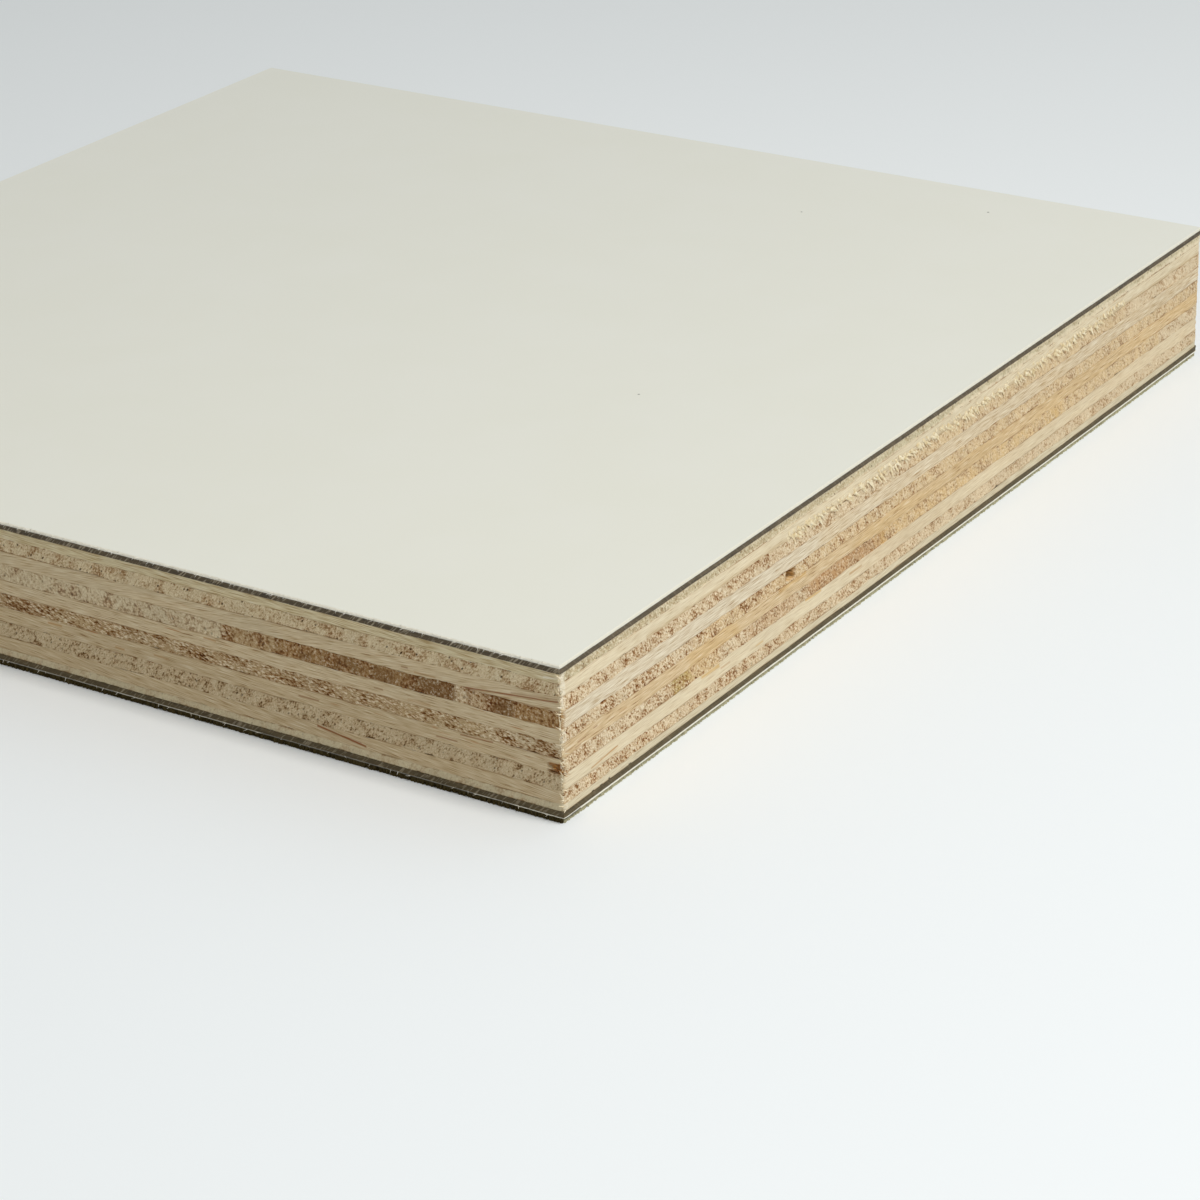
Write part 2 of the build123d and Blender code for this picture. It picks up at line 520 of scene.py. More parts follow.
# %% [markdown]
# Chance marks make one piece of wood differ from the next: a block of dark heartwood, a streak of
# resin, the brown walls of a gap. Each is a band on one sawn face, given as it is measured on the
# object: by its distances from the front corner, its heights, and how far it climbs on the way. The
# shader asks how far a point is outside the band. The fibres' own pattern is laid over a mark, and a
# mark with a veil is thinly laid over that pattern again.

# %% Marks on a sawn face
HALF_SIDE = 75
EDGE_WILDNESS = 6


def mark(face, start, end, low, high, tone, strength, soft=0.3, climb=0, inset=(-0.6, 0.6), veil=0):
    """A band on the left or right face, in mm. It runs from start to end, as measured from the front
    corner, and from low to high, with a soft edge. It lies between the two insets behind the face."""
    run = (start + end) / 2 - HALF_SIDE
    rise = (low + high + climb) / 2
    behind = sum(inset) / 2 - HALF_SIDE
    length, depth, height = abs(end - start), inset[1] - inset[0], high - low
    slope = climb / (end - start)
    band = {"tone": tone, "strength": strength, "soft": soft * MM, "veil": veil}
    if face == "left":
        band.update(centre=(behind, run, rise), size=(depth, length, height), slope=(0, slope, -1))
    else:
        band.update(centre=(run, behind, rise), size=(length, depth, height), slope=(slope, 0, -1))
    return band


def band_mask(paint, spot, ragged, band):
    """How strongly a band shows at a point, with an edge made ragged by a noise."""
    centre = [place * MM for place in band["centre"]]
    half_size = [side / 2 * MM for side in band["size"]]
    away = paint("ShaderNodeVectorMath", {0: spot, 1: centre}, operation="SUBTRACT")
    off = paint("ShaderNodeVectorMath", {0: away, 1: band["slope"]}, operation="DOT_PRODUCT")
    flat = paint("ShaderNodeVectorMath", {0: away, 1: (1, 1, 0)}, operation="MULTIPLY")
    sheared = paint("ShaderNodeCombineXYZ", {2: off.outputs["Value"]})
    sheared = paint("ShaderNodeVectorMath", {0: flat, 1: sheared}, operation="ADD")
    reach = paint("ShaderNodeVectorMath", {0: sheared}, operation="ABSOLUTE")
    past = paint("ShaderNodeVectorMath", {0: reach, 1: half_size}, operation="SUBTRACT")
    past = paint("ShaderNodeSeparateXYZ", {0: past}).outputs
    outside = paint("ShaderNodeMath", {0: past["X"], 1: past["Y"]}, operation="MAXIMUM")
    outside = paint("ShaderNodeMath", {0: outside, 1: past["Z"]}, operation="MAXIMUM")
    wild = paint("ShaderNodeMath", {0: ragged, 1: NOISE_MIDDLE}, operation="SUBTRACT")
    wildness = EDGE_WILDNESS * band["soft"]
    outside = paint("ShaderNodeMath", {0: wild, 1: wildness, 2: outside}, operation="MULTIPLY_ADD")
    edge = {"From Min": -band["soft"], "From Max": band["soft"], "To Min": band["strength"], "To Max": 0}
    return paint("ShaderNodeMapRange", {"Value": outside, **edge})


print("a mark is measured from the corner", HALF_SIDE, "mm off the middle")

# %% [markdown]
# The veneer's finish is put together from three parts: noises that follow the grain, the colour of one
# side of the fibres with its marks and coats, and the pores and glue stains that lie over both sides.
# The saw cut cleaner towards the far right end, so the coats of the fibre ends thin out that way.

# %% Patterns along the grain
SEED_STEP = 20
GATHERING = 0.5


def grain_patterns(paint, spot, axes, number, look):
    """The noises of a veneer by name, stretched along its grain, and the cells that hold its pores."""
    grain, shares, slant = grain_frame(number, look)
    leaning = paint("ShaderNodeVectorMath", {0: slant, "Scale": axes["Z"]}, operation="SCALE")
    run = axes["Y"] if number % 2 else axes["X"]
    tilt = (0, 0, -look["slope"])
    climbing = paint("ShaderNodeVectorMath", {0: tilt, "Scale": run}, operation="SCALE")
    noises = {}
    for order, (pattern, (size, stretch)) in enumerate(PATTERNS.items()):
        squeezed = [1 / stretch if part else share for part, share in zip(grain, shares)]
        shift = leaning
        if pattern in LONG_PATTERNS:
            squeezed = [1 / stretch if part else BEHIND_SHARE for part in grain[:2]] + [1]
            shift = climbing
        place = paint("ShaderNodeVectorMath", {0: spot, 1: squeezed, 2: shift}, operation="MULTIPLY_ADD")
        noises[pattern] = paint(
            "ShaderNodeTexNoise",
            {"Vector": place, "W": number + SEED_STEP * order, "Scale": 1 / size, "Detail": PIT_DETAIL},
            noise_dimensions="4D",
        ).outputs[0]
        if pattern == "specks":
            cells = paint("ShaderNodeTexVoronoi", {"Vector": place, "Scale": 1 / PORE_SPACING}).outputs
    drawn = paint("ShaderNodeMath", {0: noises["clusters"], 1: NOISE_MIDDLE}, operation="SUBTRACT")
    gathered = {0: drawn, 1: GATHERING, 2: noises["specks"]}
    noises["gathered"] = paint("ShaderNodeMath", gathered, operation="MULTIPLY_ADD")
    return noises, cells


print("every pattern's seed lies", SEED_STEP, "after the one before")


# %% One side of the fibres
def coated_side(paint, tone, coats, look, noises, bands, cleaner):
    """A tone with the chance marks, then its coats, then the veils of the marks."""
    colour = linear(TONES[tone])
    for mask, stain, veil in bands:
        colour = paint("ShaderNodeMix", {"Factor": mask, "A": colour, "B": stain}, data_type="RGBA")
    for pattern, begin, full, strength, coat, blend in coats:
        shown = {"From Min": begin, "From Max": full, "To Max": look[strength]}
        mask = paint("ShaderNodeMapRange", {"Value": noises[pattern], **shown})
        if coats is END_COATS:
            mask = paint("ShaderNodeMath", {0: mask, 1: cleaner}, operation="MULTIPLY")
        parts = {"Factor": mask, "A": colour, "B": linear(look.get(coat, coat))}
        colour = paint("ShaderNodeMix", parts, data_type="RGBA", blend_type=blend)
    for mask, stain, veil in bands:
        if veil:
            thin = paint("ShaderNodeMath", {0: mask, 1: veil}, operation="MULTIPLY")
            colour = paint("ShaderNodeMix", {"Factor": thin, "A": colour, "B": stain}, data_type="RGBA")
    return colour


print("a side takes up to", max(len(END_COATS), len(LONG_COATS)), "coats")

# %% Pores and glue stains
STAINED = {"From Min": 0.45, "From Max": 0.65}
BLOTCHED = {"From Min": 0.3, "From Max": 0.7, "To Min": 0.95, "To Max": 1.05}


def pores_and_glue(paint, wood, height, walls, pores, noises, cells, on_end):
    """Wood with dark pores in its fibre ends, glue stains along its two walls and faint blotches."""
    open_pore = {"From Min": PORE_CORE, "From Max": PORE_EDGE, "To Min": pores, "To Max": 0}
    hollow = paint("ShaderNodeMapRange", {"Value": cells["Distance"], **open_pore})
    hollow = paint("ShaderNodeMath", {0: hollow, 1: on_end}, operation="MULTIPLY")
    to_wall = []
    for wall in walls:
        gap = paint("ShaderNodeMath", {0: height, 1: wall}, operation="SUBTRACT")
        to_wall.append(paint("ShaderNodeMath", {0: gap}, operation="ABSOLUTE"))
    glue = paint("ShaderNodeMath", {0: to_wall[0], 1: to_wall[1]}, operation="MINIMUM")
    glue = paint("ShaderNodeMapRange", {"Value": glue, "From Max": GLUE_LINE, "To Min": 1, "To Max": 0})
    stained = paint("ShaderNodeMapRange", {"Value": noises["clusters"], **STAINED})
    glue = paint("ShaderNodeMath", {0: glue, 1: stained}, operation="MULTIPLY")
    for mask, tint in ((hollow, PORE_TINT), (glue, GLUE_TINT)):
        parts = {"Factor": mask, "A": wood, "B": linear(tint)}
        wood = paint("ShaderNodeMix", parts, data_type="RGBA", blend_type="MULTIPLY")
    shade = paint("ShaderNodeMapRange", {"Value": noises["blotches"], **BLOTCHED})
    return paint("ShaderNodeVectorMath", {0: wood, "Scale": shade}, operation="SCALE")


print("glue stains reach", GLUE_LINE / MM, "mm from a glue line")

# %% Veneer finish
CLEANER = {"From Min": -60 * MM, "From Max": 20 * MM, "To Min": 1, "To Max": 0.5}
FURROWED = {"Strength": 0.5, "Distance": 0.04 * MM}


def peeled_veneer(number, look):
    """Dry peeled veneer: matt, with fibre ends or long fibres by the end_grain mark."""
    finish, paint, shader, spot = new_finish(f"peeled_veneer_{number:02d}", roughness=0.85, specular=0.2)
    walls = [corner.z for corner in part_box(f"veneer_{number:02d}")]
    axes = paint("ShaderNodeSeparateXYZ", {0: spot}).outputs
    on_end = paint("ShaderNodeAttribute", attribute_name="end_grain").outputs["Fac"]
    noises, cells = grain_patterns(paint, spot, axes, number, look)
    bands = []
    for band in look["marks"]:
        ragged = noises["clusters"] if band["soft"] > GLUE_LINE else noises["lines"]
        mask = band_mask(paint, spot, ragged, band)
        bands.append((mask, linear(TONES[band["tone"]]), band["veil"]))
    cleaner = paint("ShaderNodeMapRange", {"Value": axes["X"], **CLEANER})
    sides = []
    for tone, coats in ((look["long_tone"], LONG_COATS), (look["end_tone"], END_COATS)):
        sides.append(coated_side(paint, tone, coats, look, noises, bands, cleaner))
    wood = paint("ShaderNodeMix", {"Factor": on_end, "A": sides[0], "B": sides[1]}, data_type="RGBA")
    wood = pores_and_glue(paint, wood, axes["Z"], walls, look["pores"], noises, cells, on_end)
    furrows = paint("ShaderNodeMix", {"Factor": on_end, "A": noises["lines"], "B": noises["threads"]})
    bump = paint("ShaderNodeBump", {**FURROWED, "Height": furrows}, invert=True)
    feed(finish.node_tree, shader, {"Base Color": wood, "Normal": bump})
    return finish


print("furrows are", FURROWED["Distance"] / MM, "mm deep")

# %% [markdown]
# No two veneers come from the same log. A plain look holds what they share, and a table holds what each
# has of its own: its tones, how strong its coats are, how its fibres lean, and the marks that stand out
# on it.

# %% Looks of the upper five veneers
PLAIN_LOOK = {
    "long_tone": "straw", "end_tone": "tan", "threads": 0.8, "dashes": 0.4, "streaks": 0.3,
    "mottle": 0.2, "tips": 0.65, "grit": 0.6, "pits": 0.9, "pores": 0.3, "along": 1, "upright": 0.8,
    "lean": 0.45, "slope": 0.02, "relief": 0.12, "pit_tone": "#b69162", "deep_tone": "#aa824a",
    "marks": (),
}
VOID_WALLS = dict(
    face="right", start=43.7, end=46.7, low=8.3, high=10.4, strength=0.8, soft=0.1, inset=(0.3, 4.4)
)
# the pale marks at the front corner are partly pale torn fibre, partly painted highlight where the
# corner's splinters catch the lamp
VENEERS = {
    1: dict(
        long_tone="flax", end_tone="khaki", threads=1, pits=0.45, grit=0.5, mottle=0, pores=0.6,
        dashes=0.5, streaks=0.1,
        marks=(
            mark("left", 2, 0.1, 15.4, 15.56, "pale", 0.9, soft=0.08, climb=0.2, veil=0.6),
            mark("right", 0.1, 0.8, 15.1, 16.3, "pale", 0.8, soft=0.2, inset=(-0.6, 0.15), veil=0.6),
            mark("right", 2, 60, 15.4, 15.75, "drab", 0.3, soft=0.15),
            mark("right", 2, 152, 15.98, 16.5, "ivory", 0.5, soft=0.08, veil=0.3),
            mark("right", 10, 82, 14.8, 15.3, "ivory", 0.6, soft=0.1, veil=0.3),
            mark("right", 80, 152, 14.8, 15.6, "ivory", 0.9, soft=0.18, veil=0.5),
        ),
    ),
    2: dict(
        long_tone="ivory", end_tone="wheat", threads=0.5, dashes=0.4, mottle=0.35, tips=0.35, grit=0.5,
        pits=0.6, pores=0.9, relief=0.06,
        marks=(
            mark("right", 16, 152, 13.3, 13.95, "drab", 0.6, soft=0.15),
            mark("left", 0.1, 0.4, 14, 15, "pale", 0.8, soft=0.15, veil=0.4),
            mark("right", 0.1, 0.9, 13.7, 15.3, "pale", 0.9, soft=0.2, inset=(-0.6, 0.15), veil=0.6),
        ),
    ),
    3: dict(
        dashes=0.6, streaks=0.5, slope=-0.09,
        marks=(
            mark("left", 13.4, 0.2, 11.75, 11.92, "sap", 0.9, soft=0.06, climb=1.25),
            mark("left", 6, 0.1, 12.7, 12.84, "sap", 0.4, soft=0.06, climb=0.6),
            mark("left", 17.8, 15.2, 12.15, 12.3, "rust", 0.7, soft=0.08),
            mark("left", 19.4, 18.6, 12.4, 12.55, "sap", 0.7, soft=0.06),
            mark("left", 36, 152, 11, 14, "dove", 0.5, soft=1.5, veil=0.3),
            mark("right", 72, 128, 11, 14.5, "honey", 0.3, soft=1),
            mark("right", 0.1, 0.5, 12.4, 13.7, "pale", 0.7, soft=0.2, inset=(-0.6, 0.15), veil=0.5),
        ),
    ),
    4: dict(
        long_tone="cream", end_tone="tan", threads=0.9, dashes=0.6, streaks=0.2, pits=1, grit=0.7,
        mottle=0.4, tips=0.35, pores=0.4, along=0.7, upright=0.7, lean=0, relief=0.09,
        marks=(
            mark("left", -0.5, 9.3, 9.5, 12.5, "umber", 0.9, soft=0.3),
            mark("left", 9.2, 11.2, 9.5, 12.5, "walnut", 0.35, soft=0.3),
            mark("left", 10.95, 11.4, 9.5, 12.5, "umber", 0.7, soft=0.15),
            mark("left", 12.95, 42, 9.5, 12.5, "umber", 0.9, soft=0.3),
            mark("left", -0.5, 5.6, 9.5, 12.5, "walnut", 0.8, soft=0.4, veil=0.2),
            mark("left", 18.5, 42, 9.5, 12.5, "walnut", 0.7, soft=0.4, veil=0.2),
            mark("left", 13.2, 18.5, 9.5, 12.5, "cocoa", 0.9, soft=0.4, veil=0.2),
            mark("left", 18.2, 29.4, 9.5, 12.5, "cocoa", 0.45, soft=0.4, veil=0.1),
            mark("left", 5.8, 8.4, 9.5, 12.5, "cocoa", 0.8, soft=0.4, veil=0.2),
            mark("left", 20.6, 23, 9.5, 11.3, "cocoa", 0.9, soft=0.3, veil=0.25),
            mark("left", 25.2, 28, 10.4, 12.5, "cocoa", 0.9, soft=0.3, veil=0.25),
            mark("left", 31, 32.6, 9.5, 11, "cocoa", 0.8, soft=0.3, veil=0.25),
            mark("left", 35.6, 41.4, 9.5, 12.5, "drab", 0.6, soft=0.4, veil=0.2),
            mark("left", 42.5, 152, 9.5, 12.5, "ash", 0.7, soft=0.5, veil=0.55),
            mark("right", 52, 152, 9, 13, "tan", 0.6, soft=1),
            mark("right", 105, 152, 9, 13, "tan", 0.7, soft=1),
            mark(tone="rust", **VOID_WALLS),
        ),
    ),
    5: dict(
        dashes=0.9, streaks=0.9, pits=1, grit=0.7,
        marks=(
            mark("right", 0.1, 0.9, 8.6, 9.7, "pale", 1, soft=0.2, inset=(-0.6, 0.15), veil=0.7),
            mark("right", 26, 152, 8, 10.5, "honey", 0.35, soft=1),
            mark("left", 18.8, 16, 8.75, 9.05, "rust", 0.5, soft=0.15),
            mark("left", 23, 21.9, 9.12, 9.26, "sap", 0.7, soft=0.06),
            mark("left", 45, 43.4, 9.55, 9.72, "rust", 0.7, soft=0.08, veil=0.3),
            mark("left", 60, 57.8, 9.82, 9.95, "umber", 0.6, soft=0.06),
            mark(tone="honey", **VOID_WALLS),
        ),
    ),
}
print("upper veneers", list(VENEERS))

# %% Looks of the lower five veneers
# start, end and height of the dark nicks in the lowest veneer
CHARRED = ((5.2, 5.6, 1.05), (6.7, 7.2, 1), (8.3, 8.6, 1.1), (12.1, 12.6, 1))
# the pale marks at the front corner are partly pale torn fibre, partly painted highlight where the
# corner's splinters catch the lamp
VENEERS |= {
    6: dict(
        long_tone="peach", end_tone="drab", threads=0.8, dashes=0.9, streaks=0.5, tips=0.85, pits=0.95,
        pores=0.2, along=0.55, upright=1.2, lean=-0.4, deep_tone="#8a6638", relief=0.09,
        marks=(
            mark("right", 0.7, 2, 7.3, 7.4, "sap", 0.7, soft=0.06),
            mark("right", 2.9, 4.4, 7.45, 7.56, "sap", 0.7, soft=0.06),
            mark("right", 2.4, 3.5, 7.05, 7.15, "sap", 0.6, soft=0.06),
            mark("right", 5.8, 6.5, 7.8, 7.9, "sap", 0.7, soft=0.06),
            mark("right", 10.6, 12, 7.5, 7.58, "rust", 0.7, soft=0.06),
            mark("left", 67, 152, 6, 9, "umber", 0.5, soft=0.3),
            mark("left", -0.5, 9, 6, 9, "sand", 0.5, soft=0.6),
            mark("left", 20, 60, 6, 9, "umber", 0.25, soft=0.8),
            mark("right", 42.5, 48.5, 7.9, 8.6, "honey", 0.8, soft=0.2),
            mark("right", 24, 34, 6.5, 8.7, "honey", 0.35, soft=0.6),
            mark("right", 60, 152, 6.5, 8.7, "honey", 0.3, soft=1),
            mark(tone="honey", **VOID_WALLS),
        ),
    ),
    7: dict(
        long_tone="reed", dashes=0.9, streaks=0.9, slope=0.04,
        marks=(
            mark("left", 12.4, 8.4, 6.46, 6.6, "sap", 0.8, soft=0.06, climb=0.1),
            mark("left", 15.4, 12.8, 5.56, 5.7, "sap", 0.7, soft=0.06),
            mark("left", 32.8, 30.2, 5.83, 5.98, "sap", 0.7, soft=0.07),
            mark("left", 52, 50, 5.9, 6.05, "rust", 0.7, soft=0.08),
            mark("left", 57.3, 56.1, 5.53, 5.7, "rust", 0.7, soft=0.08, veil=0.3),
            mark("left", 66.6, 64.7, 6.3, 6.46, "rust", 0.7, soft=0.08, veil=0.3),
            mark("right", 23, 30, 4, 8, "honey", 0.5, soft=0.8),
            mark("right", 20.8, 24, 4, 8, "olive", 0.8, soft=0.5),
            mark("right", 36, 46, 4, 8, "rust", 0.4, soft=0.8),
            mark("right", 49, 66, 4, 8, "rust", 0.8, soft=0.8),
            mark("right", 64, 110, 4, 8, "honey", 0.6, soft=1),
            mark("right", 108, 138, 4, 8, "honey", 0.4, soft=1),
            mark("left", -1, 6, 3, 9, "straw", 0.9, soft=1),
            mark("left", 0.4, 2.2, 4.5, 6.4, "amber", 0.9, soft=0.05, inset=(0.3, 1), veil=0.5),
        ),
    ),
    8: dict(
        long_tone="ivory", end_tone="taupe", threads=0.5, dashes=0.25, pits=0.8, tips=0.05, grit=0.4,
        pores=0.6, relief=0.06, pit_tone="#b39a78", deep_tone="#85704f",
        marks=(
            mark("right", 5.2, 10.2, 3.52, 3.66, "rust", 0.8, soft=0.06, climb=0.4),
            mark("right", 7, 10, 3.75, 3.85, "rust", 0.7, soft=0.06, climb=0.2),
            mark("right", 26.5, 30, 4.6, 4.9, "honey", 0.8, soft=0.15),
            mark("right", 48.3, 51.7, 4.85, 5.02, "honey", 0.9, soft=0.08, climb=-0.1, veil=0.5),
            mark("right", 58, 60.8, 4.2, 4.38, "rust", 0.8, soft=0.1, veil=0.2),
            mark("right", 30.4, 32.3, 4.15, 4.3, "rust", 0.6, soft=0.08),
            mark("right", 37.6, 39.2, 3.75, 3.9, "honey", 0.8, soft=0.1),
            mark("right", 60, 152, 2, 7, "tan", 0.7, soft=1),
        ),
    ),
    9: dict(
        long_tone="reed", dashes=0.7, slope=0.1, pits=1, grit=0.7, mottle=0.3,
        marks=(
            mark("left", 30.6, 24.4, 2.88, 3.1, "sap", 0.9, soft=0.06, climb=-0.9, veil=0.4),
            mark("left", 27.6, 25, 2.52, 2.64, "sap", 0.7, soft=0.06, climb=-0.2),
            mark("left", -1, 6, 0, 6, "straw", 0.9, soft=1),
        ),
    ),
    10: dict(
        long_tone="oat", end_tone="bone", threads=0.5, pits=0.2, tips=0.1, grit=0.2, pores=0.2,
        relief=0.05,
        marks=(
            mark("right", 0.1, 0.8, 1.1, 1.9, "pale", 0.8, soft=0.2, inset=(-0.6, 0.15)),
            *[
                mark("right", start, end, 0.8, high, "char", 0.9, soft=0.06)
                for start, end, high in CHARRED
            ],
        ),
    ),
}
looks = {number: {**PLAIN_LOOK, **own} for number, own in VENEERS.items()}
print("veneer looks", len(looks), "with", sum(len(look["marks"]) for look in looks.values()), "marks")

# %% The ten veneers
ROW_HEIGHT = 0.2 * MM
LAYER_MAPS = {"Rim map share": 0.86, "Upper map share": 0.13, "Lower map share": 0.13}
POCKETS = {
    5: {
        "Pocket centre": (-29.8 * MM, -HALF_SIDE * MM, 9.6 * MM),
        "Pocket size": (2 * MM, 1 * MM, 1.6 * MM),
        "Pocket depth": 1.2 * MM,
        "Pocket raggedness": 0.25 * MM,
    },
    7: {
        "Pocket centre": (-HALF_SIDE * MM, -HALF_SIDE * MM, 5.4 * MM),
        "Pocket size": (1 * MM, 3.6 * MM, 1.5 * MM),
        "Pocket depth": 0.35 * MM,
        "Pocket raggedness": 0.8 * MM,
    },
}
for number, look in looks.items():
    node = f"veneer_{number:02d}"
    low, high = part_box(node)
    grain, shares, slant = grain_frame(number, look)
    sizes = {
        "Rows": round((high.z - low.z) / ROW_HEIGHT),
        "Grain": grain,
        "Fibre shares": shares,
        "Fibre slant": slant,
        "Pit size": PIT_SIZE,
        "End depth": look["relief"] * MM,
        "Long depth": 0.025 * MM,
        "Waver": 0.14 * MM,
        "Corner wear": 0.5 * MM,
        "Ply wave": 0.5 * MM,
        "Seed": number,
        **LAYER_MAPS,
        **POCKETS.get(number, {}),
    }
    slot = "veneer_lengthwise" if number % 2 else "veneer_crosswise"
    saw_layer(node, peeled_veneer(number, look), slot, **sizes)

# %% [markdown]
# Under the decor lies the laminate's core: sheets of brown kraft paper soaked in resin and pressed
# hard. Its sawn edge is almost black, dense and a little shiny, and the saw has left fine pale
# scratches across it. The white decor paper soaks a little way into the sheet next to it, so the border
# between them is soft.

# %% Kraft core
SCRATCH_SPACING = 0.3 * MM
SCRATCH_STRETCH = 10
SCRATCHED = {"From Min": 0.52, "From Max": 0.7}
SCRATCH_TONE = "#bcae95"
LONG_SCRATCHES = 0.2
PAPER_SHEET = 0.2 * MM
SHEET_STRETCH = (0.1, 0.1, 1)
SHEETS = {"From Min": 0.3, "From Max": 0.7}
PRESSED = {"Strength": 0.4, "Distance": 0.02 * MM}
DECOR_TONE = "#dfdcd0"
SOAK_BORDER = (1.2, 1.7)


def pressed_kraft(name, outer_wall, soaking, soaked_end, scratched, dark, light):
    """Resin-soaked kraft paper: dark and dense, with thin sheets along the rim and slanted pale
    scratches. White soaks in from the outer wall, and soaked_end is its share on marked faces."""
    finish, paint, shader, spot = new_finish(name, roughness=0.6, specular=0.35)
    axes = paint("ShaderNodeSeparateXYZ", {0: spot}).outputs
    on_end = paint("ShaderNodeAttribute", attribute_name="end_grain").outputs["Fac"]

    # scratches slant over the rim and are strongest on the left side, away from the lamp: partly saw
    # scratches, partly painted light that lifts that shaded side
    along = paint("ShaderNodeMath", {0: axes["X"], 1: axes["Y"]}, operation="ADD")
    across = paint("ShaderNodeMath", {0: along, 1: axes["Z"]}, operation="ADD")
    beside = paint("ShaderNodeMath", {0: axes["Z"], 1: along}, operation="SUBTRACT")
    beside = paint("ShaderNodeMath", {0: beside, 1: SCRATCH_STRETCH}, operation="DIVIDE")
    slanted = paint("ShaderNodeCombineXYZ", {0: across, 1: beside})
    scratch_noise = {"Vector": slanted, "Scale": 1 / SCRATCH_SPACING, "Detail": 2}
    scratches = paint("ShaderNodeTexNoise", scratch_noise)
    scratches = paint("ShaderNodeMapRange", {"Value": scratches, **SCRATCHED, "To Max": scratched})
    seen = paint("ShaderNodeMapRange", {"Value": on_end, "To Min": LONG_SCRATCHES})
    scratches = paint("ShaderNodeMath", {0: scratches, 1: seen}, operation="MULTIPLY")

    # sheets of paper, and the white that soaks into the outermost one
    sheets = paint("ShaderNodeVectorMath", {0: spot, 1: SHEET_STRETCH}, operation="MULTIPLY")
    sheets = paint("ShaderNodeTexNoise", {"Vector": sheets, "Scale": 1 / PAPER_SHEET, "Detail": 3})
    from_wall = paint("ShaderNodeMath", {0: axes["Z"], 1: outer_wall}, operation="SUBTRACT")
    from_wall = paint("ShaderNodeMath", {0: from_wall}, operation="ABSOLUTE")
    uneven = paint("ShaderNodeMath", {0: sheets, 1: soaking, 2: from_wall}, operation="MULTIPLY_ADD")
    first, last = [share * soaking for share in SOAK_BORDER]
    border = {"From Min": first, "From Max": last, "To Min": 1, "To Max": 0}
    soaked = paint("ShaderNodeMapRange", {"Value": uneven, **border})
    held = paint("ShaderNodeMapRange", {"Value": on_end, "To Min": 1, "To Max": soaked_end})
    soaked = paint("ShaderNodeMath", {0: soaked, 1: held}, operation="MULTIPLY")
    layered = paint("ShaderNodeMapRange", {"Value": sheets, **SHEETS})
    paper = linear(dark)
    for mask, tone in ((layered, light), (scratches, SCRATCH_TONE), (soaked, DECOR_TONE)):
        parts = {"Factor": mask, "A": paper, "B": linear(tone)}
        paper = paint("ShaderNodeMix", parts, data_type="RGBA")
    bump = paint("ShaderNodeBump", {**PRESSED, "Height": sheets})
    feed(finish.node_tree, shader, {"Base Color": paper, "Normal": bump})
    return finish


print("kraft sheets", PAPER_SHEET / MM, "mm thick, scratches", SCRATCH_SPACING / MM, "mm apart")

# %% The two kraft layers
# paper has no grain, so its rim is alike all round, and the grain only tells the two sides apart
PAPER_RIM = {
    "Grain": (1, 0, 0),
    "Fibre shares": (1, 1, 1),
    "Long depth": 0.02 * MM,
    "Corner wear": 0.15 * MM,
}
kraft_shape = {
    **PAPER_RIM,
    "Rows": 5,
    "Pit size": 0.4 * MM,
    "End depth": 0.04 * MM,
    "Waver": 0.05 * MM,
    "Seed": 11,
    **LAYER_MAPS,
}
above = dict(soaking=0.05 * MM, soaked_end=1, scratched=0.8, dark="#463b2a", light="#66573f")
below = dict(soaking=0.03 * MM, soaked_end=0.4, scratched=0.5, dark="#463a1e", light="#625334")
kraft_above = pressed_kraft("pressed_kraft_above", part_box("top_kraft")[1].z, **above)
kraft_below = pressed_kraft("pressed_kraft_below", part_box("bottom_kraft")[0].z, **below)
saw_layer("top_kraft", kraft_above, "kraft_core", **kraft_shape)
saw_layer("bottom_kraft", kraft_below, "kraft_core", **kraft_shape)

# %% [markdown]
# The decor is one printed sheet of paper under clear melamine, pressed against a satin plate. It looks
# plain, but it isn't perfectly even: the print is faintly cloudy, the satin is a fine grain that
# softens the light, and a few specks of fibre show. Its sharp arris is rubbed down and nicked by the
# saw. The lower sheet has broken away along the left side, under a thin lip, and its rim there is
# painted dark: painted shade, for the shadow in the gap under that edge. The raw rim of both sheets on
# the left, which faces away from the lamp, is painted lighter: partly pale fluff, partly painted light.

# %% Decor sheet
PAPER_TONE = "#e4e2d4"
CLOUD_TONE = "#e5e3d6"
SPECK_TONE = "#7d7566"
FLUFF_AND_LIGHT_TONE = "#f6f1e1"
GAP_SHADE_TONE = "#2e2719"
PAPER_EDGE = 0.03 * MM
TEAR_WAVE = 3 * MM
PRINT_CLOUD = 12 * MM
CLOUDED = {"From Min": 0.35, "From Max": 0.65}
SATIN_GRAIN = 0.3 * MM
SATIN_ROUGHNESS = {"To Min": 0.36, "To Max": 0.5}
SATIN_RELIEF = {"Strength": 0.3, "Distance": 0.01 * MM}
MELAMINE_COAT = {"Coat Weight": 0.6, "Coat Roughness": 0.3}
SPECK_SPACING = 11 * MM
SPECK_SHARE = 0.12
SPECK = {"From Min": 0.012, "From Max": 0.02, "To Min": 1, "To Max": 0}


